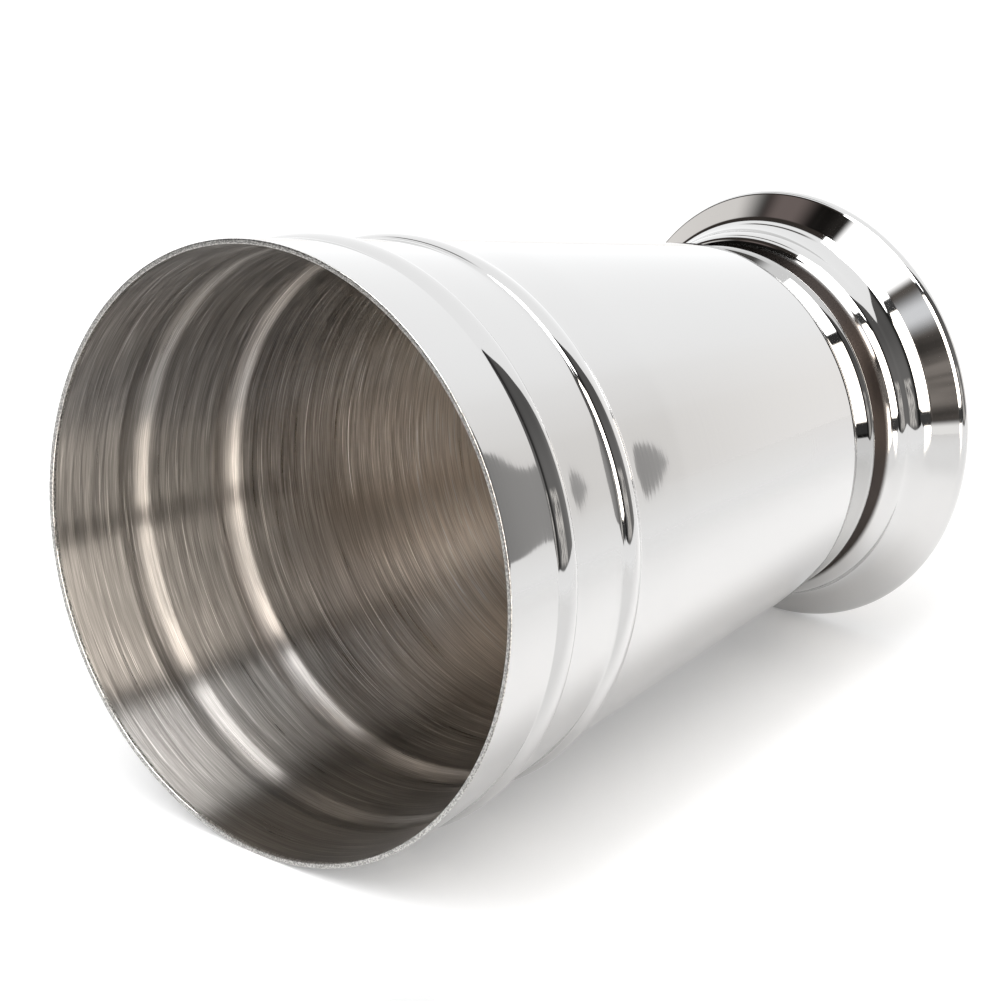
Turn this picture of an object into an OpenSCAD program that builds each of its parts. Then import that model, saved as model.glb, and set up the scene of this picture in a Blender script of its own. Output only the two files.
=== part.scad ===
// Footed cocktail cup in stainless steel sheet, standing on its foot.
// The axis is Z, the table is Z = 0 and the mouth looks up. All sizes are in millimetres.

/* [Mouth] */
// Outer diameter at the lip
mouth_d = 88; // [76:0.5:96]
// Rounding of the two corners of the flat-cut lip
lip_round = 0.15; // [0.05:0.05:0.3]

/* [Cup] */
// Height from the underside of the cup's floor to the lip
cup_h = 98; // [85:0.5:120]
// Outer diameter that the tapered wall would have at the floor's underside
cup_base_d = 56.4; // [52:0.2:64]
// Sheet thickness of the cup
cup_wall = 0.75; // [0.5:0.05:1.2]
// Outer radius of the drawn corner between wall and floor
corner_r = 4; // [2.5:0.1:6]

/* [Rolled beads] */
// How far each bead stands out of the wall
bead_rise = 0.86; // [0.4:0.02:1.2]
// Distance along the wall from the lip to the start of the upper bead
upper_bead_start = 11.6; // [6:0.1:16]
// Length of the upper bead's slope on the mouth side
upper_bead_near = 2.8; // [2.2:0.1:4]
// Length of the upper bead's slope on the foot side
upper_bead_far = 2; // [1.9:0.1:4]
// Distance along the wall from the lip to the start of the lower bead
lower_bead_start = 28.2; // [22:0.1:40]
// Length of the lower bead's slope on the mouth side
lower_bead_near = 2.3; // [2:0.1:4]
// Length of the lower bead's slope on the foot side
lower_bead_far = 2.85; // [2:0.1:4]
// Radius of the small hollows where a bead runs into the wall
bead_fillet = 0.5; // [0.2:0.05:0.8]

/* [Foot collar] */
// Sheet thickness of the collar
collar_wall = 0.8; // [0.5:0.05:1]
// How far the collar's rolled edge lies inside the radius of the cup's base
collar_inset = 0.9; // [0:0.05:2]
// Height of the collar below the cup's floor
collar_h = 5.03; // [4.4:0.01:6]
// Outer radius of the collar's rolled lower edge
collar_roll_r = 1.8; // [1.3:0.05:2]
// Angle by which the collar's skirt flares from the axis
collar_flare = 26.6; // [15:0.2:32]
// Outer radius of the bend between the collar's flat top and its skirt
collar_bend_r = 1.4; // [1:0.1:2]

/* [Foot] */
// Sheet thickness of the foot
foot_wall = 0.8; // [0.5:0.05:1]
// How far the neck lies inside the collar's rolled edge
neck_inset = 3.3; // [2.8:0.05:5]
// Outer radius of the bend at the top of the neck
neck_bend_r = 1.5; // [1:0.1:2.5]
// Radius of the hollow where the neck meets the shoulder
neck_fillet = 0.8; // [0.4:0.1:1.2]
// How far the crease between the ring bead and the cove stands out of the neck
waist_out = 4.5; // [3.5:0.1:6]
// Height of that crease above the table
waist_z = 9.65; // [9:0.05:11]
// Outer radius of the ring bead above the crease
ring_r = 3.5; // [2.5:0.1:4]
// Angle of the shoulder from the axis
shoulder_angle = 55; // [45:1:65]
// How far the flange's rolled edge stands out of the crease
flange_out = 5.1; // [4:0.1:8]
// Angle of the flange's slope between the cove and the rolled edge, from the axis
flange_angle = 45.4; // [40:0.2:50]
// Outer radius of the flange's rolled edge
flange_roll_r = 1.55; // [1.2:0.05:2]
// Width of the flat land that the foot rests on
land_w = 1; // [0.4:0.1:2]
// Height of the turned-up end of the sheet behind the land
hem_rise = 0.5; // [0.2:0.1:1]

/* [Welds] */
// Number of plug welds that hold the foot and collar under the floor
weld_count = 6; // [4:1:8]
// Diameter of each plug weld
weld_d = 4; // [3:0.1:5]
// How far the circle on which the welds lie is inside the neck
weld_inset = 7; // [4.5:0.5:9]
// Height of a weld's crown below the foot's sheet
weld_crown = 0.3; // [0.1:0.05:0.5]
// Diameter of the centring hole in the collar and the foot
centre_hole_d = 10; // [6:0.5:11]

/* [Fits] */
// Radial clearance between the collar's turned-in edge and the neck
neck_clear = 0.1; // [0.05:0.05:0.3]
// Height from the foot of the neck to the collar's lower edge
groove_gap = 0.35; // [0.2:0.05:1]
// Radial clearance between a plug weld and its holes
weld_clear = 0.02; // [0:0.01:0.05]

/* [Hidden] */
$fn = 180;
arc_steps = 12;
lip_steps = 4;

// Radii of the collar and the foot, from the cup's base down
collar_x = cup_base_d / 2 - collar_inset;
neck_x = collar_x - neck_inset;
waist_x = neck_x + waist_out;
flange_x = waist_x + flange_out;
weld_x = neck_x - weld_inset;
shoulder_x = waist_x - ring_r * (1 - cos(shoulder_angle));

// The cove meets the crease upright and runs into the flange's slope
roll_x = flange_x - flange_roll_r;
cove_drop = (waist_z - flange_roll_r) * sin(flange_angle);
cove_r = (cove_drop - (roll_x - waist_x) * cos(flange_angle) - flange_roll_r) / (1 - cos(flange_angle));

// Heights above the table, from the foot's shoulder up to the lip
shoulder_z = waist_z + ring_r * sin(shoulder_angle);
neck_foot_z = shoulder_z + (shoulder_x - neck_x) / tan(shoulder_angle);
collar_low_z = neck_foot_z + groove_gap;
cup_floor_z = collar_low_z + collar_h;
foot_top_z = cup_floor_z - collar_wall;
hole_cut = 4 * (collar_wall + foot_wall);
lip_z = cup_floor_z + cup_h;

// The tapered wall
taper = atan((mouth_d - cup_base_d) / 2 / cup_h);
corner_z = cup_floor_z + corner_r;
corner_x = wall_x(corner_z) - corner_r / cos(taper);

// Outer radius of the plain cone at height z
function wall_x(z) = mouth_d / 2 - (lip_z - z) * tan(taper);

// Points of an arc about c, from angle a to angle b, with the x axis as angle 0. A first of 1
// leaves out the point at a, where the arc goes on from another
function arc(c, r, a, b, n = arc_steps, first = 0) =
    [for (i = [first : n]) c + r * [cos(a + (b - a) * i / n), sin(a + (b - a) * i / n)]];

// Point s along the wall from the lip and p out of it, as radius and height
function on_wall(s, p) =
    [mouth_d / 2 - s * sin(taper) + p * cos(taper), lip_z - s * cos(taper) - p * sin(taper)];

// Flank angle of a bead whose slope is run long and rises by bead_rise
function flank(run) = 2 * atan(bead_rise / run);

// One bead along the wall, as points [along, out], on the face that lies depth under the outer one
function bead(start, near, far, depth) =
    let (a = flank(near), b = flank(far))
    let (crown_a = near / sin(a) - bead_fillet, crown_b = far / sin(b) - bead_fillet)
    let (crest = start + near, end = start + near + far, hollow = bead_fillet + depth)
    concat(
        [for (i = [0 : arc_steps]) let (t = a * i / arc_steps)
            [start + hollow * sin(t), bead_fillet - hollow * cos(t)]],
        [for (i = [1 : arc_steps]) let (t = a * (1 - i / arc_steps))
            [crest - (crown_a - depth) * sin(t), bead_rise - crown_a + (crown_a - depth) * cos(t)]],
        [for (i = [1 : arc_steps]) let (t = b * i / arc_steps)
            [crest + (crown_b - depth) * sin(t), bead_rise - crown_b + (crown_b - depth) * cos(t)]],
        [for (i = [1 : arc_steps]) let (t = b * (1 - i / arc_steps))
            [end - hollow * sin(t), bead_fillet - hollow * cos(t)]]);

// Both beads on one face of the sheet, from the lip down, as radius and height
function beads(depth) =
    [for (q = concat(
        bead(upper_bead_start, upper_bead_near, upper_bead_far, depth),
        bead(lower_bead_start, lower_bead_near, lower_bead_far, depth))) on_wall(q[0], q[1])];

function reversed(list) = [for (i = [len(list) - 1 : -1 : 0]) list[i]];

// Deep-drawn cup: flat-cut lip, two rolled beads, tapered wall, round corner and flat floor
module cup_body() {
    lip_low = lip_z - lip_round;
    lip_out = wall_x(lip_low) - lip_round / cos(taper);
    lip_in = wall_x(lip_low) - (cup_wall - lip_round) / cos(taper);
    color("gainsboro")
    rotate_extrude()
    polygon(concat(
        arc([lip_in, lip_low], lip_round, 180 - taper, 90, lip_steps),
        arc([lip_out, lip_low], lip_round, 90, -taper, lip_steps),
        beads(0),
        arc([corner_x, corner_z], corner_r, -taper, -90),
        [[0, cup_floor_z], [0, cup_floor_z + cup_wall]],
        arc([corner_x, corner_z], corner_r - cup_wall, -90, -taper),
        reversed(beads(cup_wall))));
}

// Outline of the collar's sheet: flat top, flared skirt, rolled edge turned in to the neck
module collar_outline() {
    t = collar_wall;
    roll = [collar_x - collar_roll_r, collar_low_z + collar_roll_r];
    bend_z = cup_floor_z - collar_bend_r;
    bend_x = roll[0] + (collar_roll_r - collar_bend_r) / cos(collar_flare)
        - (bend_z - roll[1]) * tan(collar_flare);
    hole_x = centre_hole_d / 2;
    edge_x = neck_x + neck_clear;
    polygon(concat(
        [[hole_x, cup_floor_z]],
        arc([bend_x, bend_z], collar_bend_r, 90, collar_flare),
        arc(roll, collar_roll_r, collar_flare, -90),
        [[edge_x, collar_low_z], [edge_x, collar_low_z + t]],
        arc(roll, collar_roll_r - t, -90, collar_flare),
        arc([bend_x, bend_z], collar_bend_r - t, collar_flare, 90),
        [[hole_x, cup_floor_z - t]]));
}

// Collar that stands under the cup's floor and covers the neck of the foot
module foot_collar() {
    color("silver")
    difference() {
        rotate_extrude() collar_outline();
        weld_holes();
    }
}

// Outline of the foot's sheet, on the face that lies depth under the outer one, from the top down
function foot_face(depth) =
    let (ring = [waist_x - ring_r, waist_z], cove = [waist_x + cove_r, waist_z])
    let (hem_x = roll_x - land_w)
    let (hollow = [neck_x + neck_fillet, neck_foot_z + neck_fillet * tan(shoulder_angle / 2)])
    concat(
        [[centre_hole_d / 2, foot_top_z - depth]],
        arc([neck_x - neck_bend_r, foot_top_z - neck_bend_r], neck_bend_r - depth, 90, 0),
        arc(hollow, neck_fillet + depth, 180, 180 + shoulder_angle),
        arc(ring, ring_r - depth, shoulder_angle, 0),
        arc(cove, cove_r + depth, 180, 180 + flange_angle, first = 1),
        arc([roll_x, flange_roll_r], flange_roll_r - depth, flange_angle, -90),
        arc([hem_x, flange_roll_r], flange_roll_r - depth, -90, -180),
        [[hem_x - flange_roll_r + depth, flange_roll_r + hem_rise]]);

// Hollow foot: neck, shoulder, ring bead, crease, cove, flange and its rolled edge
module foot_shell() {
    color("lightgray")
    difference() {
        rotate_extrude() polygon(concat(foot_face(0), reversed(foot_face(foot_wall))));
        weld_holes();
    }
}

// Holes through the flat tops of the foot and the collar, one for each weld
module weld_holes() {
    for (i = [0 : weld_count - 1])
        rotate(i * 360 / weld_count)
        translate([weld_x, 0, foot_top_z])
        cylinder(d = weld_d + 2 * weld_clear, h = hole_cut, center = true);
}

// One weld: a plug as deep as both sheets, with a low round crown
module plug_weld() {
    plug_h = collar_wall + foot_wall;
    crown_r = (weld_d * weld_d / 4 + weld_crown * weld_crown) / (2 * weld_crown);
    crown_angle = asin(weld_d / 2 / crown_r);
    rotate_extrude()
    polygon(concat(
        arc([0, crown_r - weld_crown], crown_r, -90, crown_angle - 90),
        [[weld_d / 2, plug_h], [0, plug_h]]));
}

// Ring of welds that tie the foot and the collar to the cup's floor
module plug_welds() {
    color("darkgray")
    for (i = [0 : weld_count - 1])
        rotate(i * 360 / weld_count)
        translate([weld_x, 0, cup_floor_z - collar_wall - foot_wall])
        plug_weld();
}

cup_body();
foot_collar();
foot_shell();
plug_welds();
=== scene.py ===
import math
import bpy
from mathutils import Matrix, Vector


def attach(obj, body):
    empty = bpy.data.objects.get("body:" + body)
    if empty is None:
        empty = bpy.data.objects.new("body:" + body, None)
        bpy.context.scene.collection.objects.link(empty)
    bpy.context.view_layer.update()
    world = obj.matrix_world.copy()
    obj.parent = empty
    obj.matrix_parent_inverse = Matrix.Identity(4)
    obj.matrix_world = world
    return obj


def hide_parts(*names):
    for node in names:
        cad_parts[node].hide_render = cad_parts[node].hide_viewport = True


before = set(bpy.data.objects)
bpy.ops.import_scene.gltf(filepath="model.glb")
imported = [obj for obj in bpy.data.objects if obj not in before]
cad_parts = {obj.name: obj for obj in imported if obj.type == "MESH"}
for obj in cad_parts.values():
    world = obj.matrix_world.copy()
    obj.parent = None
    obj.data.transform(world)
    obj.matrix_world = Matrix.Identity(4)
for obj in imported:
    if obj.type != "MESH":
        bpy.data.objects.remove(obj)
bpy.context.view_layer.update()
print("frame loaded:", ", ".join(sorted(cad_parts)))

mm = 0.001  # outlines are drawn in millimetres and meshes are in metres


# Node trees, for shaders and for geometry

class Wire:  # an output socket that can be reckoned with: each operator adds a Math node
    def __init__(self, graph, socket):
        self.graph = graph
        self.socket = socket

    def math(self, operation, *others):
        values = dict(enumerate((self,) + others))
        return self.graph.node("ShaderNodeMath", dict(operation=operation), values)

    def __add__(self, other):
        return self.math("ADD", other)

    def __sub__(self, other):
        return self.math("SUBTRACT", other)

    def __rsub__(self, other):
        return self.graph.node("ShaderNodeMath", dict(operation="SUBTRACT"), {0: other, 1: self})

    def __mul__(self, other):
        return self.math("MULTIPLY", other)

    def __truediv__(self, other):
        return self.math("DIVIDE", other)

    __radd__ = __add__


class Graph:
    def __init__(self, tree):
        self.tree = tree
        if tree.type == "SHADER":
            tree.nodes.clear()

    def node(self, kind, settings={}, sockets={}, out=0):  # settings first, then what goes into the sockets
        made = self.tree.nodes.new(kind)
        for name, value in settings.items():
            if name == "curve":
                setCurve(made.mapping, value)
            else:
                setattr(made, name, value)
        for name, value in sockets.items():
            if isinstance(value, Wire):
                self.tree.links.new(value.socket, made.inputs[name])
            else:
                made.inputs[name].default_value = value
        return Wire(self, made.outputs[out]) if len(made.outputs) else made

    def objectPlace(self):
        return self.node("ShaderNodeTexCoord", {}, {}, out="Object")

    def split(self, vector):
        first = self.node("ShaderNodeSeparateXYZ", {}, {0: vector})
        return [Wire(self, socket) for socket in first.socket.node.outputs]

    def join(self, x, y, z):
        return self.node("ShaderNodeCombineXYZ", {}, {0: x, 1: y, 2: z})

    def vector(self, operation, first, second, out=0):  # the number comes from out 1
        return self.node("ShaderNodeVectorMath", dict(operation=operation), {0: first, 1: second}, out=out)

    def scale(self, colour, factor):
        sockets = {0: colour, "Scale": factor}
        return self.node("ShaderNodeVectorMath", dict(operation="SCALE"), sockets)

    def rise(self, value, start, end, low=0.0, high=1.0):  # soft step from low to high
        sockets = {"Value": value, "From Min": start, "From Max": end, "To Min": low, "To Max": high}
        return self.node("ShaderNodeMapRange", dict(interpolation_type="SMOOTHSTEP"), sockets)

    def between(self, value, start, end, soft):  # 1 from start to end, 0 outside
        return self.rise(value, start - soft, start + soft) * self.rise(value, end + soft, end - soft)

    def mix(self, factor, first, second):  # of two colours
        sockets = {0: factor, 6: first, 7: second}
        return self.node("ShaderNodeMix", dict(data_type="RGBA"), sockets, out=2)

    def curve(self, value, points):  # smooth curve through points (value, result)
        low, high = points[0][0], points[-1][0]
        least = min(point[1] for point in points)
        reach = max(point[1] for point in points) - least
        share = self.node("ShaderNodeMapRange", {}, {"Value": value, "From Min": low, "From Max": high})
        curve = [((a - low) / (high - low), (b - least) / reach) for a, b in points]
        return self.node("ShaderNodeFloatCurve", dict(curve=curve), {"Value": share}) * reach + least


def setCurve(mapping, points):
    line = mapping.curves[0]
    while len(line.points) < len(points):
        line.points.new(0.5, 0.5)
    for point, place in zip(line.points, points):
        point.location = place
    mapping.update()


def rgba(colour, share=1.0):
    return [share * c for c in colour] + [1]


# Outlines: half sections as points (radius, height)

spacing = dict(
    arc=4.0,  # degrees
    straight=1.5,
    besideArc=0.1,  # from the end of an arc to the next ring
    same=0.001,  # points closer than this are one
)


def arcLine(centre, radius, start, end, step=spacing["arc"]):
    count = max(2, math.ceil(abs(end - start) / step))
    angles = [math.radians(start + (end - start) * i / count) for i in range(count + 1)]
    return [(centre[0] + radius * math.cos(a), centre[1] + radius * math.sin(a)) for a in angles]


def straightLine(start, end):  # without its ends
    count = max(2, math.ceil(math.dist(start, end) / spacing["straight"]))
    return [tuple(a + (b - a) * i / count for a, b in zip(start, end)) for i in range(1, count)]


def chain(*stretches):  # arcs joined by straight lines with rings close to both ends
    line = list(stretches[0])
    for stretch in stretches[1:]:
        gap = math.dist(line[-1], stretch[0])
        if gap < spacing["same"]:
            line += stretch[1:]
            continue
        near = min(spacing["besideArc"], gap / 4)
        start = tuple(a + (b - a) * near / gap for a, b in zip(line[-1], stretch[0]))
        end = tuple(b + (a - b) * near / gap for a, b in zip(line[-1], stretch[0]))
        line += [start] + straightLine(start, end) + [end] + list(stretch)
    return line


# Turning an outline about Z. Each of its points has a zone, which gives the finish

zone = dict(outside=0.0, edge=1.0, inside=2.0)
edgeFrom, insideFrom = 0.4, 1.6  # a face takes the mean of its corners' zones
seam = 0.001 * mm  # points closer than this are merged at the seam and on the axis
segments = 240  # round each piece


def latheTree():
    tree = bpy.data.node_groups.new("latheTurning", "GeometryNodeTree")
    face = tree.interface
    face.new_socket("Outline", in_out="INPUT", socket_type="NodeSocketGeometry")
    face.new_socket("Segments", in_out="INPUT", socket_type="NodeSocketInt")
    for name in ("Outside", "Edge", "Inside"):
        face.new_socket(name, in_out="INPUT", socket_type="NodeSocketMaterial")
    face.new_socket("Turned", in_out="OUTPUT", socket_type="NodeSocketGeometry")
    graph = Graph(tree)
    given = tree.nodes.new("NodeGroupInput")
    outline, count, outside, edge, inside = [Wire(graph, s) for s in list(given.outputs)[:5]]
    rings = graph.node("GeometryNodeAttributeDomainSize", {}, {0: outline})
    sizes = {"Size X": 1.0, "Size Y": 1.0, "Vertices X": count + 1, "Vertices Y": rings}
    grid = graph.node("GeometryNodeMeshGrid", {}, sizes)
    index = graph.node("GeometryNodeInputIndex")
    turn = (index / rings).math("FLOOR")
    ring = index - turn * rings

    def sample(dataType, value):
        sockets = {"Geometry": outline, "Value": value, "Index": ring}
        return graph.node("GeometryNodeSampleIndex", dict(data_type=dataType, domain="POINT"), sockets)

    def storedZone():
        return graph.node("GeometryNodeInputNamedAttribute", dict(data_type="FLOAT"), {0: "zone"})

    outlinePlace = graph.split(sample("FLOAT_VECTOR", graph.node("GeometryNodeInputPosition")))
    radius, height = outlinePlace[0], outlinePlace[2]
    sampledZone = sample("FLOAT", storedZone())
    angle = turn * (2 * math.pi) / count
    place = graph.join(radius * angle.math("COSINE"), radius * angle.math("SINE"), height)
    moved = graph.node("GeometryNodeSetPosition", {}, {"Geometry": grid, "Position": place})
    kept = graph.node("GeometryNodeStoreNamedAttribute", dict(data_type="FLOAT", domain="POINT"),
                      {"Geometry": moved, "Name": "zone", "Value": sampledZone})
    closed = graph.node("GeometryNodeMergeByDistance", {}, {"Geometry": kept, "Distance": seam})
    smooth = graph.node("GeometryNodeSetShadeSmooth", {}, {"Geometry": closed, "Shade Smooth": True})
    real = graph.node("GeometryNodeRealizeInstances", {}, {"Geometry": smooth})
    faceZone = storedZone()
    done = graph.node("GeometryNodeSetMaterial", {}, {"Geometry": real, "Material": outside})
    for material, level in ((edge, edgeFrom), (inside, insideFrom)):
        chosen = faceZone.math("GREATER_THAN", level)
        done = graph.node("GeometryNodeSetMaterial", {},
                          {"Geometry": done, "Selection": chosen, "Material": material})
    result = tree.nodes.new("NodeGroupOutput")
    tree.links.new(done.socket, result.inputs[0])
    return tree


def turned(name, outline, zones, finishes):  # outline in mm, one zone for each of its points
    mesh = bpy.data.meshes.new(name)
    points = [(r * mm, 0, z * mm) for r, z in outline]
    mesh.from_pydata(points, [(i, i + 1) for i in range(len(points) - 1)], [])
    mesh.attributes.new("zone", "FLOAT", "POINT").data.foreach_set("value", zones)
    source = bpy.data.objects.new(name + "_outline", mesh)
    bpy.context.collection.objects.link(source)
    modifier = source.modifiers.new("turning", "NODES")
    modifier.node_group = lathe
    given = dict(Segments=segments, Outside=finishes[0], Edge=finishes[1], Inside=finishes[2])
    for item in lathe.interface.items_tree:
        if item.in_out == "INPUT" and item.name in given:
            modifier[item.identifier] = given[item.name]
    depsgraph = bpy.context.evaluated_depsgraph_get()
    solid = bpy.data.meshes.new_from_object(source.evaluated_get(depsgraph), depsgraph=depsgraph)
    bpy.data.objects.remove(source)
    solid.name = name
    piece = bpy.data.objects.new(name, solid)
    bpy.context.collection.objects.link(piece)
    print(name, "has", len(solid.polygons), "faces, volume", round(volumeOf(solid) / mm ** 3), "mm3")
    return piece


def volumeOf(mesh):
    mesh.calc_loop_triangles()
    total = 0.0
    for triangle in mesh.loop_triangles:
        a, b, c = [mesh.vertices[i].co for i in triangle.vertices]
        total += a.dot(b.cross(c))
    return total / 6


lathe = latheTree()


# Steel. Streaks and grains are noise, with so many grains to the metre round the axis and along it

polish = dict(
    tint=(0.53, 0.526, 0.522),
    roughness=0.03,
    haze=0.02,  # added where it is smeared
    smearShade=0.97,
    bump=0.05,
    depth=0.02,
    fine=dict(around=20, along=1500),
    smear=dict(around=12, along=25, offset=3.0),
)
# painted shade: the collar's steel is a darker copy of the wall's polish, for its darker mirror image
collarPolish = dict(polish, tint=(0.40, 0.396, 0.391))
groove = dict(  # painted shade: the darker band of the foot, in the groove under the collar
    tint=(0.045, 0.038, 0.035),
    roughness=0.3,
    heights=(12.5, 15.2),
    soft=0.25,
)
inner = dict(
    tint=(0.293, 0.28, 0.267),
    roughness=0.31,
    anisotropy=1.0,
    brushTurn=0.25,
    bump=0.12,
    depth=0.03,
    fine=dict(around=130, along=5500, detail=3.0),
    wide=dict(around=45, along=1100, offset=7.0),
    wideShare=0.35,
    wideRough=0.16,
    grain=(0.28, 0.72, 0.72, 1.24),  # noise from and to, then brightness from and to
    scratch=dict(around=110, along=5500, detail=1.0, offset=11.0),
    scratchRange=(0.60, 0.72),
    scratchLight=0.4,
    scratchRough=0.16,
    longScratch=dict(around=35, along=4500, detail=1.0, offset=17.0),
    longRange=(0.66, 0.76),
    longLight=0.9,
    longRough=0.12,
    deepLightTint=(0.87, 0.81, 0.745),  # painted light: brighter and warmer below the lower ring
    deep=(44, 86),
    ring=(85.0, 90.5),  # painted highlight in the ring itself
    ringSoft=0.8,
    ringHighlightGain=1.5,
)
cutEdge = dict(
    tint=(0.63, 0.62, 0.60),
    roughness=0.3,
    darkShare=0.5,
    bump=0.5,
    depth=0.03,
    grain=dict(around=3200, along=3200),
    grainRange=(0.4, 0.6),
)
weld = dict(
    tint=(0.37, 0.33, 0.30),
    blue=(0.19, 0.21, 0.29),
    roughness=0.45,
    bump=0.5,
    depth=0.05,
    ripple=dict(around=500, along=500),
)


def newMaterial(name):
    material = bpy.data.materials.new(name)
    material.use_nodes = True
    return material, Graph(material.node_tree)


def streaks(graph, around, along, detail=2.0, offset=0.0):  # drawn out round the axis, in rings on a floor
    x, y, height = graph.split(graph.objectPlace())
    radius = (x * x + y * y).math("SQRT")
    place = graph.join(x * around + offset, y * around + offset, (height + radius) * along + offset)
    return graph.node("ShaderNodeTexNoise", {}, {"Vector": place, "Scale": 1.0, "Detail": detail})


def finishSteel(graph, values, tone, rough, relief, extra={}):
    bump = {"Strength": values["bump"], "Distance": values["depth"] * mm, "Height": relief}
    normal = graph.node("ShaderNodeBump", {}, bump)
    sockets = {"Base Color": tone, "Metallic": 1.0, "Roughness": rough, "Normal": normal}
    sockets.update(extra)
    shader = graph.node("ShaderNodeBsdfPrincipled", {}, sockets)
    graph.node("ShaderNodeOutputMaterial", {}, {"Surface": shader})


def polishedSteel(name, values, grooveShade=None):
    material, graph = newMaterial(name)
    fine = streaks(graph, **values["fine"])
    smear = streaks(graph, **values["smear"])
    rough = values["roughness"] + smear * values["haze"]
    tone = graph.mix(smear, rgba(values["tint"], values["smearShade"]), rgba(values["tint"]))
    # painted shade: darker, rougher steel in the band between the groove's heights
    if grooveShade:
        height = graph.split(graph.objectPlace())[2]
        low, high = [h * mm for h in grooveShade["heights"]]
        shadeMask = graph.between(height, low, high, grooveShade["soft"] * mm)
        tone = graph.mix(shadeMask, tone, rgba(grooveShade["tint"]))
        rough = rough + shadeMask * (grooveShade["roughness"] - rough)
    finishSteel(graph, values, tone, rough, fine)
    return material


def brushedSteel(name, values):
    material, graph = newMaterial(name)
    fine = streaks(graph, **values["fine"])
    wide = streaks(graph, **values["wide"])
    scratch = graph.rise(streaks(graph, **values["scratch"]), *values["scratchRange"])
    longScratch = graph.rise(streaks(graph, **values["longScratch"]), *values["longRange"])
    lines = fine * (1 - values["wideShare"]) + wide * values["wideShare"]
    rough = values["roughness"] + (wide - 0.5) * values["wideRough"]
    rough = rough + scratch * values["scratchRough"] + longScratch * values["longRough"]
    grain = graph.rise(lines, *values["grain"])
    grain = grain + scratch * values["scratchLight"] + longScratch * values["longLight"]
    # painted light: the inside's tint is brighter and warmer deep down
    height = graph.split(graph.objectPlace())[2]
    deep, shallow = [h * mm for h in values["deep"]]
    tint = graph.mix(graph.rise(height, deep, shallow), rgba(values["deepLightTint"]), rgba(values["tint"]))
    # painted highlight: the lower ring's tone is raised
    low, high = [h * mm for h in values["ring"]]
    ring = graph.between(height, low, high, values["ringSoft"] * mm)
    tone = graph.scale(tint, grain * (1 + ring * (values["ringHighlightGain"] - 1)))
    brush = {"Anisotropic": values["anisotropy"], "Anisotropic Rotation": values["brushTurn"]}
    finishSteel(graph, values, tone, rough, lines, brush)
    return material


def cutSteel(name, values):
    material, graph = newMaterial(name)
    grain = graph.rise(streaks(graph, **values["grain"]), *values["grainRange"])
    tone = graph.mix(grain, rgba(values["tint"], values["darkShare"]), rgba(values["tint"]))
    finishSteel(graph, values, tone, values["roughness"], grain)
    return material


def weldSteel(name, values):
    material, graph = newMaterial(name)
    ripple = streaks(graph, **values["ripple"])
    tone = graph.mix(ripple, rgba(values["tint"]), rgba(values["blue"]))
    finishSteel(graph, values, tone, values["roughness"], ripple)
    return material


wallSteel = polishedSteel("wallSteel", polish)
collarSteel = polishedSteel("collarSteel", collarPolish)
footSteel = polishedSteel("footSteel", polish, groove)
insideSteel = brushedSteel("insideSteel", inner)
lipSteel = cutSteel("lipSteel", cutEdge)
weldTint = weldSteel("weldTint", weld)
print("steel finishes made")


# The cup

cup = dict(
    lipHeight=118.003,  # above the plane on which the foot rests
    mouthRadius=43.98,
    floorHeight=20.003,  # of the floor's underside
    floorRings=(0.0, 2, 6, 12, 18, 22, 24),
    baseRadius=28.2,  # where the cone of the wall would meet that underside
    sheet=0.75,
    lipRound=0.15,
    lipStep=15,  # degrees, in the rounding of the lip's corners
    lipStart=3,  # points of each corner that still belong to the sides
    cornerRadius=4.0,
    beadRise=0.86,
    beadFillet=0.5,
    beads=[(11.4, 3.0, 2.0), (28.2, 2.3, 2.85)],  # start, slope on the mouth side, slope on the foot side
    insideBeads=[(11.4, 3.0, 2.8), (28.3, 2.4, 2.9)],  # rounder on the inside
    # distance from the lip and degrees by which the wall stands up steeper than its cone
    lean=[(0, 1.15), (9, 0.62), (10, 0.62), (11.4, 0.85), (12.5, 0.0), (17.4, 0.0), (18.1, 0.48), (20, 0.44),
          (22, 0.3), (23, -0.1), (33.9, -0.08), (34.9, 1.15), (38.5, 1.13), (42.5, 0.9), (45.3, 0.3),
          (46.6, -0.2), (95, -0.2)],
    leanStep=0.05,
    slopeReach=0.02,  # to both sides of a point, for the slope of the wall
    beadSpacing=0.13,  # between rings, on the beads and up to beadMargin from them
    beadMargin=0.3,
    wallSpacing=(0.25, 1.8),  # elsewhere, from the beads' ends to the plain wall
    spacingGrowth=0.7,
)
cup["tilt"] = math.atan((cup["mouthRadius"] - cup["baseRadius"]) / (cup["lipHeight"] - cup["floorHeight"]))
sine, cosine = math.sin(cup["tilt"]), math.cos(cup["tilt"])


def beadHeight(s, start, near, far):  # how far a bead stands out, s along the wall from the lip
    rise, fillet = cup["beadRise"], cup["beadFillet"]
    for run, t in ((near, start + near - s), (far, s - start - near)):
        if 0 <= t <= run:
            flank = 2 * math.atan(rise / run)
            crown = run / math.sin(flank) - fillet
            if t < crown * math.sin(flank):
                return rise - crown + math.sqrt(crown ** 2 - t ** 2)
            return fillet - math.sqrt(max(0, fillet ** 2 - (run - t) ** 2))
    return 0.0


def leanAt(s):
    for (a, low), (b, high) in zip(cup["lean"], cup["lean"][1:]):
        if a <= s <= b:
            t = (s - a) / (b - a)
            return low + (high - low) * t * t * (3 - 2 * t)
    return 0.0


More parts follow.
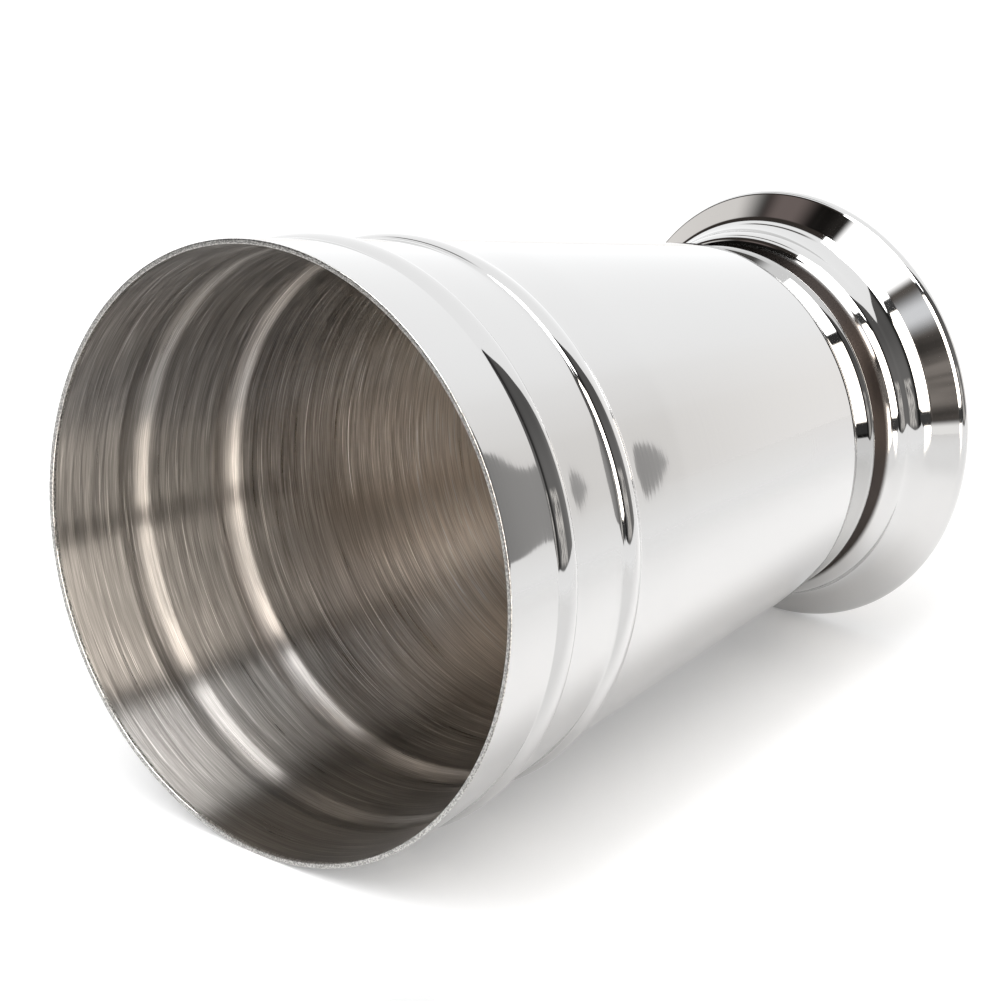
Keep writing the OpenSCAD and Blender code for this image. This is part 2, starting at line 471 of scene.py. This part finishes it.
def wallFace(places, beads):  # points and outward normals of the wall at these distances from the lip
    step, reach = cup["leanStep"], cup["slopeReach"]
    count = math.ceil(places[-1] / step) + 1
    swell = [0.0]
    for i in range(count):
        swell.append(swell[-1] + step * math.tan(math.radians(leanAt((i + 0.5) * step))))
    level = swell[-1]

    def out(s):
        i = min(count - 1, max(0, int(s / step)))
        part = swell[i] + (swell[i + 1] - swell[i]) * (s / step - i)
        return part - level * s / places[-1] + sum(beadHeight(s, *bead) for bead in beads)

    points, normals = [], []
    for s in places:
        p = out(s)
        slope = (out(s + reach) - out(s - reach)) / (2 * reach)
        along, across = slope / math.hypot(1, slope), 1 / math.hypot(1, slope)
        points.append((cup["mouthRadius"] - s * sine + p * cosine, cup["lipHeight"] - s * cosine - p * sine))
        normals.append((across * cosine + along * sine, along * cosine - across * sine))
    return points, normals


def wallPlaces(start, end):  # close together on the beads, wide on the plain wall
    beadEnds = [(first, first + near + far) for first, near, far in cup["insideBeads"]]
    edges = [0.0] + [edge for ends in beadEnds for edge in ends]
    margin, (least, most) = cup["beadMargin"], cup["wallSpacing"]
    places, s = [start], start
    while s < end:
        if any(first - margin < s < last + margin for first, last in beadEnds):
            s += cup["beadSpacing"]
        else:
            away = min([most] + [abs(s - edge) for edge in edges])
            s += min(most, least + away * cup["spacingGrowth"])
        places.append(s)
    places[-1] = end
    return places


def lipCorner(point, normal, sign):  # from the side of the wall up to the cut, sign -1 on the inside
    (r, z), (nr, nz), lipRound = point, normal, cup["lipRound"]
    centre = (r - sign * lipRound * nr, z - sign * lipRound * nz)
    start = math.degrees(math.atan2(sign * nz, sign * nr))
    start += 360 if sign < 0 and start < 0 else 0
    return arcLine(centre, lipRound, start, 90, cup["lipStep"])


def cupOutline():
    tilt = math.degrees(cup["tilt"])
    sheet, lipRound = cup["sheet"], cup["lipRound"]
    cornerRadius, low = cup["cornerRadius"], cup["floorHeight"]
    coneRadius = cup["mouthRadius"] - (cup["lipHeight"] - low - cornerRadius) * math.tan(cup["tilt"])
    corner = (coneRadius - cornerRadius / cosine, low + cornerRadius)
    wallEnd = arcLine(corner, cornerRadius, -tilt, -90)[0]
    length = math.dist(wallEnd, (cup["mouthRadius"], cup["lipHeight"])) - spacing["besideArc"]
    outerPlaces = wallPlaces(lipRound * (1 + sine) / cosine, length)
    outer, normals = wallFace(outerPlaces, cup["beads"])
    innerPlaces = wallPlaces((lipRound + (sheet - lipRound) * sine) / cosine, length)
    backs, backNormals = wallFace(innerPlaces, cup["insideBeads"])
    inside = [(r - sheet * nr, z - sheet * nz) for (r, z), (nr, nz) in zip(backs, backNormals)]
    lipOut = lipCorner(outer[0], normals[0], 1)
    lipIn = lipCorner(inside[0], backNormals[0], -1)
    floorOut = [(r, low) for r in cup["floorRings"]]
    floorIn = [(r, low + sheet) for r in reversed(cup["floorRings"])]
    outCorner = arcLine(corner, cornerRadius, -90, -tilt)
    inCorner = arcLine(corner, cornerRadius - sheet, -tilt, -90)
    below = floorOut + outCorner + list(reversed(outer))[:-1]
    top = chain(lipOut, list(reversed(lipIn)))
    above = inside[1:] + inCorner + floorIn
    zones = [zone["outside"]] * len(below) + [zone["edge"]] * len(top) + [zone["inside"]] * len(above)
    for i in range(cup["lipStart"]):
        zones[len(below) + i] = zone["outside"]
        zones[len(below) + len(top) - 1 - i] = zone["outside"]
    return below + top + above, zones


outline, zones = cupOutline()
print("cup outline has", len(outline), "points")
cupBody = turned("cup_body_turned", outline, zones, (wallSteel, lipSteel, insideSteel))
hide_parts("cup_body")
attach(cupBody, "root")


# The foot and its collar

foot = dict(
    sheet=0.8,
    top=19.203,
    neck=24.0,
    neckBend=1.5,
    neckFoot=14.623,  # height where neck and shoulder would meet
    neckFillet=0.8,
    shoulder=55.0,  # angle from the axis
    waist=28.5,
    waistHeight=9.65,
    ring=3.5,
    cove=5.8,
    slope=45.4,  # of the flange, from the axis
    edge=33.6,
    roll=1.55,
    land=1.0,
    hem=0.5,
    hole=5.0,
    fineStep=2.5,  # degrees, in the ring and the cove
)
collar = dict(
    sheet=0.8,
    top=20.003,
    low=14.973,
    edge=27.3,
    roll=1.8,
    flare=26.6,
    bend=1.4,
    reach=24.1,  # radius to which the lower edge turns in
    hole=5.0,
)


def footFace(depth):
    v = foot
    hollowHeight = v["neckFoot"] + v["neckFillet"] * math.tan(math.radians(v["shoulder"] / 2))
    hollow = (v["neck"] + v["neckFillet"], hollowHeight)
    neckTop = (v["neck"] - v["neckBend"], v["top"] - v["neckBend"])
    ringCentre = (v["waist"] - v["ring"], v["waistHeight"])
    coveCentre = (v["waist"] + v["cove"], v["waistHeight"])
    rollX = v["edge"] - v["roll"]
    hemX = rollX - v["land"]
    return chain(
        [(v["hole"], v["top"] - depth)],
        arcLine(neckTop, v["neckBend"] - depth, 90, 0),
        arcLine(hollow, v["neckFillet"] + depth, 180, 180 + v["shoulder"]),
        arcLine(ringCentre, v["ring"] - depth, v["shoulder"], 0, v["fineStep"]),
        arcLine(coveCentre, v["cove"] + depth, 180, 180 + v["slope"], v["fineStep"]),
        arcLine((rollX, v["roll"]), v["roll"] - depth, v["slope"], -90),
        arcLine((hemX, v["roll"]), v["roll"] - depth, -90, -180),
        [(hemX - v["roll"] + depth, v["roll"] + v["hem"])])


def collarFace(depth):
    v = collar
    roll = (v["edge"] - v["roll"], v["low"] + v["roll"])
    bendZ = v["top"] - v["bend"]
    flare = math.radians(v["flare"])
    bendX = roll[0] + (v["roll"] - v["bend"]) / math.cos(flare) - (bendZ - roll[1]) * math.tan(flare)
    return chain(
        [(v["hole"], v["top"] - depth)],
        arcLine((bendX, bendZ), v["bend"] - depth, 90, v["flare"]),
        arcLine(roll, v["roll"] - depth, v["flare"], -90),
        [(v["reach"], v["low"] + depth)])


def sheetOutline(face, sheet):  # both faces and the two cut edges, going round the section
    outer, inside = face(0), face(sheet)
    line = list(reversed(outer)) + inside
    line = chain(line, [line[0]])
    return line, [zone["outside"]] * len(outer) + [zone["inside"]] * (len(line) - len(outer))


footParts = [("foot_shell", footFace, foot, footSteel), ("foot_collar", collarFace, collar, collarSteel)]
for name, face, values, steel in footParts:
    outline, zones = sheetOutline(face, values["sheet"])
    piece = turned(name + "_turned", outline, zones, (steel, lipSteel, insideSteel))
    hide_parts(name)
    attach(piece, "root")
print("foot and collar turned")

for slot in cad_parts["plug_welds"].material_slots:
    slot.material = weldTint


# The camera and the table. The cup lies on its side, so the table touches its lip and its flange

view = dict(
    camera=(0.0, -428.42, 522.45),
    aim=(-1.64, 10.25, 60.0),
    focal=154.81,
    sensor=36,
    touch=116.55,  # where the table touches, in degrees round from the camera's side
)
tableTop = dict(  # its places lie (behind, right of) the point where the lip touches it
    corners=[(-60, -400), (-60, -45), (-42, 22), (-620, 310), (-620, 800), (0, 800), (60, 347), (258, 800),
             (800, 800), (800, -400)],
    notchEdge=(6, 7),  # the corners at the ends of the edge that the wall mirrors
    notchFade=(0, 250),  # clear at this edge and white further in
    notchRight=(150, 250),  # only this far right
    nearWhite=(0.92, 0.92, 0.92),
    farWhite=(0.82, 0.81, 0.80),
    whiteFade=(120, 420),  # painted shade: from the one to the other, darker by distance
    clearFade=(620, 800),
    glow=0.16,  # for the light that the cup throws back on it
    openGlow=0.44,  # more of it right of the cup, just outside the shadow
    openSlant=0.72,  # its edges run this far right for each step back
    openStart=(46, 75),  # from none to all of it, going right
    openBehind=(-40, 0),  # and going back
    openFade=(55, 170),  # from all of it to openLeft, going right
    openLeft=0.22,
)


def levelAt(angle):  # level direction, in degrees from the camera's side
    return Vector((-math.sin(math.radians(angle)), -math.cos(math.radians(angle)), 0))


def aimed(obj, place, target, up):
    back = (Vector(place) - Vector(target)).normalized()
    right = up.cross(back).normalized()
    turn = Matrix((right, back.cross(right), back)).transposed()
    obj.matrix_world = Matrix.Translation(Vector(place) * mm) @ turn.to_4x4()


touch = levelAt(view["touch"])
lipPoint = touch * cup["mouthRadius"] + Vector((0, 0, cup["lipHeight"]))
flangePoint = touch * foot["edge"] + Vector((0, 0, foot["roll"]))
side = Vector((0, 0, 1)).cross(touch)
tableUp = (lipPoint - flangePoint).cross(side).normalized()
tableUp *= -1 if tableUp.dot(touch) > 0 else 1
toBack = lipPoint - Vector(view["camera"])
toBack = (toBack - tableUp * toBack.dot(tableUp)).normalized()
toRight = toBack.cross(tableUp)

camera = bpy.data.objects.new("camera", bpy.data.cameras.new("camera"))
bpy.context.collection.objects.link(camera)
camera.data.lens = view["focal"]
camera.data.sensor_width = view["sensor"]
aimed(camera, view["camera"], view["aim"], tableUp)
bpy.context.scene.camera = camera
bpy.context.scene.view_settings.view_transform = "Standard"

corners = [toBack * back + toRight * right for back, right in tableTop["corners"]]
tableMesh = bpy.data.meshes.new("table")
tablePoints = [tuple((lipPoint + corner) * mm) for corner in corners]
tableMesh.from_pydata(tablePoints, [], [tuple(range(len(corners)))])
if tableMesh.polygons[0].normal.dot(tableUp) < 0:
    tableMesh.flip_normals()
table = bpy.data.objects.new("table", tableMesh)
bpy.context.collection.objects.link(table)


def tableWhite(values):
    material, graph = newMaterial("tableWhite")
    place = graph.objectPlace()
    away = graph.vector("DISTANCE", place, lipPoint * mm, out=1)
    offset = graph.vector("SUBTRACT", place, lipPoint * mm)

    def along(direction):  # distance from the touching point in this direction
        return graph.vector("DOT_PRODUCT", offset, direction, out=1)

    def fade(value, name, *levels):
        low, high = [d * mm for d in values[name]]
        return graph.rise(value, low, high, *levels)

    # painted shade: the table's white darkens away from where the lip touches
    white = graph.mix(fade(away, "whiteFade"), rgba(values["nearWhite"]), rgba(values["farWhite"]))
    aside = along(toRight - toBack * values["openSlant"])
    opened = fade(aside, "openStart", 0, values["openGlow"]) * fade(along(toBack), "openBehind")
    opened = opened * fade(aside, "openFade", 1.0, values["openLeft"])
    paper = graph.node("ShaderNodeBsdfDiffuse", {}, {"Color": white})
    glow = graph.node("ShaderNodeEmission", {}, {"Color": graph.scale(white, opened + values["glow"])})
    paper = graph.node("ShaderNodeAddShader", {}, {0: paper, 1: glow})
    start, end = [corners[i] for i in values["notchEdge"]]
    inward = (end - start).normalized().cross(tableUp)
    inward *= -1 if inward.dot(toBack) < 0 else 1
    fromEdge = along(inward) - inward.dot(start) * mm
    notchClear = fade(fromEdge, "notchFade", 1, 0) * fade(along(toRight), "notchRight")
    clearShare = fade(away, "clearFade").math("MAXIMUM", notchClear)
    clear = graph.node("ShaderNodeBsdfTransparent")
    paper = graph.node("ShaderNodeMixShader", {}, {0: clearShare, 1: paper, 2: clear})
    behind = graph.node("ShaderNodeNewGeometry", {}, {}, out="Backfacing")
    shown = graph.node("ShaderNodeMixShader", {}, {0: behind, 1: paper, 2: clear})
    graph.node("ShaderNodeOutputMaterial", {}, {"Surface": shown})
    return material


tableMesh.materials.append(tableWhite(tableTop))
print("table laid")


# The room that the steel mirrors, on the world. Each zone is placed by the steel that mirrors it:
# the tilt of the surface from the cup's axis and its turn round it, both in degrees

studio = dict(
    gain=1.15,  # of all zones
    ceiling=(1.29, 1.30, 1.31),
    halo=(1.04, 1.02, 1.0),  # dimmer and warmer stretch above the cup
    haloLow=(1.26, 1.24, 1.22),
    haloTilts=(-12.0, -10.2),
    haloTones=[(-90, 0), (-30, 0), (-15, 0.45), (-8, 0.75), (0, 1.0), (5, 1.0), (10, 0.75),
               (14, 0.5), (20, 0.2), (30, 0), (90, 0)],  # how much of it, by turn
    room=(0.05, 0.043, 0.038),  # the unlit room beside the softboxes
    roomTilts=(31.3, 32.7),
)
dark = dict(  # the dark zone that shows on the upper band and behind the beads
    tint=(1, 0.985, 0.97),
    tones=[(-10, 0.5), (-9.3, 0.47), (-8.9, 0.40), (-8.5, 0.38), (-8, 0.31), (-6.8, 0.24), (-5, 0.19),
           (0, 0.14), (18, 0.11), (21, 0.03), (28, 0.02)],  # by tilt
    left=[(-9.6, 4.5), (-9.2, -0.5), (-8.7, -3.2), (-8.0, -7.5), (-5, -13), (-1.5, -16), (3, -18.5),
          (8, -21.5), (17, -25), (24, -28), (28, -28)],  # turns of its sides by tilt: it narrows to a tip
    right=[(-9.6, 4.5), (-9.2, 9.3), (-9.0, 11.3), (-8.7, 12.5), (-8.0, 13.7), (-4, 15), (8, 17.5),
           (16, 18.2), (28, 16)],
    sideSoft=0.25,
    tilts=(-9.6, 25),
    tiltSoft=0.08,
    lift=dict(turns=(-14, 2), tilts=(-7, 19), soft=2, share=0.09,  # lighter towards the right
              tint=(1, 0.98, 0.96)),
    patch=dict(turns=(3, 17), tilts=(5, 17), softs=(0.8, 1.5), light=(0.9, 0.87, 0.83),
               noise=(0.25, 0.9, 0.0), noiseRange=(0.39, 0.57)),  # a crumpled sheet
)
softboxes = dict(
    tilts=(23.8, 40),
    panels=[((-48, -21.5), (9.5, 9.5, 9.5)), ((-17, 13), (7.6, 7.1, 6.5)), ((17.5, 42), (7.4, 6.9, 6.2))],
    soft=0.5,
    middle=5.7,
    spread=(24, 28, 1.15, 1.0),  # they come closer together with less tilt
    rightStart=(29, 31),  # the right one starts at more tilt
    bar=(0.07, 0.07, 0.07),  # the stands between them
    barTurns=(-23, 17.5),
    barSoft=0.4,
    screen=dict(turns=(-74.5, -52), tilts=(22.6, 25.6), softs=(4, 0.5),  # a dark one, left of them
                light=(0.13, 0.125, 0.12)),
)
front = dict(  # the side of the room from which the photo is taken
    tilts=(39.7, 41.3),
    tint=(1.0, 0.90, 0.82),
    tones=[(-90, 0.0), (-66, 0.01), (-50, 0.018), (-40, 0.06), (-20, 0.12), (-8, 0.13), (-4, 0.07),
           (0, 0.24), (9, 0.24), (13, 0.13), (17, 0.09), (38, 0.045), (90, 0.02)],
    noise=(0.2, 0.9, 5.0),
    noiseRange=(0.35, 0.65, 0.6, 1.4),
    lights=[((-150, -76), (40.3, 43.7), 6, (1.0, 0.97, 0.94)),  # turns, tilts, softness, light
            ((-70, -58), (40.3, 43.7), 4, (0.22, 0.18, 0.17)),
            ((-17.5, -10), (40, 44), 3, (1.0, 1.02, 1.05)),
            ((-45, -22.5), (40, 47.5), 1.5, (2.0, 2.0, 2.0)),
            ((17, 60), (40, 44), 1, (1.25, 1.24, 1.22)),
            ((-17, -7), (44.5, 51), 1.5, (6.2, 5.5, 4.9)),
            ((10, 42), (44.5, 51), 2, (5.3, 4.75, 4.25)),
            ((-47, -21), (45, 51), 1.5, (4.0, 4.0, 4.0))],
    tiltSoft=1,
)

world = bpy.data.worlds.new("studio")
bpy.context.scene.world = world
world.use_nodes = True
graph = Graph(world.node_tree)
direction = graph.node("ShaderNodeTexCoord", {}, {}, out="Generated")
lipFront = levelAt(0) * cup["mouthRadius"] + Vector((0, 0, cup["lipHeight"]))
toCamera = (Vector(view["camera"]) - lipFront).normalized()
summed = graph.vector("ADD", direction, toCamera)
halfway = graph.node("ShaderNodeVectorMath", dict(operation="NORMALIZE"), {0: summed})
x, y, z = graph.split(halfway)
tilt = z.math("ARCSINE") * (180 / math.pi)
turn = (0 - x).math("ARCTAN2", 0 - y) * (180 / math.pi)


def roomNoise(turnScale, tiltScale, offset):
    place = graph.join(turn * turnScale, tilt * tiltScale, offset)
    return graph.node("ShaderNodeTexNoise", {}, {"Vector": place, "Scale": 1.0})


def window(turns, tilts, turnSoft, tiltSoft):
    return graph.between(turn, *turns, turnSoft) * graph.between(tilt, *tilts, tiltSoft)


halo = graph.mix(graph.rise(tilt, *studio["haloTilts"]), rgba(studio["haloLow"]), rgba(studio["halo"]))
colour = graph.mix(graph.curve(turn, studio["haloTones"]), rgba(studio["ceiling"]), halo)

darkColour = graph.mix(graph.curve(tilt, dark["tones"]), (0, 0, 0, 1), rgba(dark["tint"]))
lift = dark["lift"]
lifted = graph.rise(turn, *lift["turns"], 0, lift["share"])
lifted = lifted * graph.between(tilt, *lift["tilts"], lift["soft"])
darkColour = graph.mix(lifted, darkColour, rgba(lift["tint"]))
patch = dark["patch"]
crumple = graph.rise(roomNoise(*patch["noise"]), *patch["noiseRange"])
patchArea = window(patch["turns"], patch["tilts"], *patch["softs"]) * crumple
darkColour = graph.mix(patchArea, darkColour, rgba(patch["light"]))
soft = dark["sideSoft"]
darkArea = (graph.rise(turn - graph.curve(tilt, dark["left"]), -soft, soft)
            * graph.rise(graph.curve(tilt, dark["right"]) - turn, -soft, soft)
            * graph.between(tilt, *dark["tilts"], dark["tiltSoft"]))
colour = graph.mix(darkArea, colour, darkColour)
colour = graph.mix(graph.rise(tilt, *studio["roomTilts"]), colour, rgba(studio["room"]))

panelBand = graph.between(tilt, *softboxes["tilts"], softboxes["soft"])
middle = softboxes["middle"]
panelTurn = middle + (turn - middle) * graph.rise(tilt, *softboxes["spread"])
barArea = panelBand * graph.between(panelTurn, *softboxes["barTurns"], softboxes["barSoft"])
colour = graph.mix(barArea, colour, rgba(softboxes["bar"]))
for (low, high), light in softboxes["panels"]:
    panelArea = panelBand * graph.between(panelTurn, low, high, softboxes["soft"])
    if low > 0:
        panelArea = panelArea * graph.rise(tilt, *softboxes["rightStart"])
    colour = graph.mix(panelArea, colour, rgba(light))
screen = softboxes["screen"]
colour = graph.mix(window(screen["turns"], screen["tilts"], *screen["softs"]), colour, rgba(screen["light"]))

clutter = graph.rise(roomNoise(*front["noise"]), *front["noiseRange"])
frontColour = graph.mix(graph.curve(turn, front["tones"]) * clutter, (0, 0, 0, 1), rgba(front["tint"]))
colour = graph.mix(graph.rise(tilt, *front["tilts"]), colour, frontColour)
for turns, tilts, soft, light in front["lights"]:
    colour = graph.mix(window(turns, tilts, soft, front["tiltSoft"]), colour, rgba(light))

seen = graph.node("ShaderNodeLightPath", {}, {}, out="Is Camera Ray")
colour = graph.mix(seen, graph.scale(colour, studio["gain"]), (1, 1, 1, 1))
light = graph.node("ShaderNodeBackground", {}, {"Color": colour})
graph.node("ShaderNodeOutputWorld", {}, {"Surface": light})
world.cycles_visibility.diffuse = False  # the zones are for the steel; the table has lamps of its own

lamps = dict(
    aim=(0, 0, 60),
    distance=500,
    suns=[("sky", 2.35, 175, (0, 0, 0)),  # power, spread in degrees, and where it leans from straight above
          ("overhead", 1.0, 70, (30, -110, 260)),
          ("left", 0.75, 60, (134, 268, 250)),
          ("front", 0.2, 60, (60, -420, 260))],
)
for name, power, spread, lean in lamps["suns"]:
    lamp = bpy.data.objects.new(name, bpy.data.lights.new(name, "SUN"))
    bpy.context.collection.objects.link(lamp)
    lamp.data.angle = math.radians(spread)
    lamp.data.energy = power
    lamp.visible_glossy = False
    place = Vector(lamps["aim"]) + tableUp * lamps["distance"] + Vector(lean)
    aimed(lamp, place, lamps["aim"], Vector((0, 0, 1)))
print("studio set")
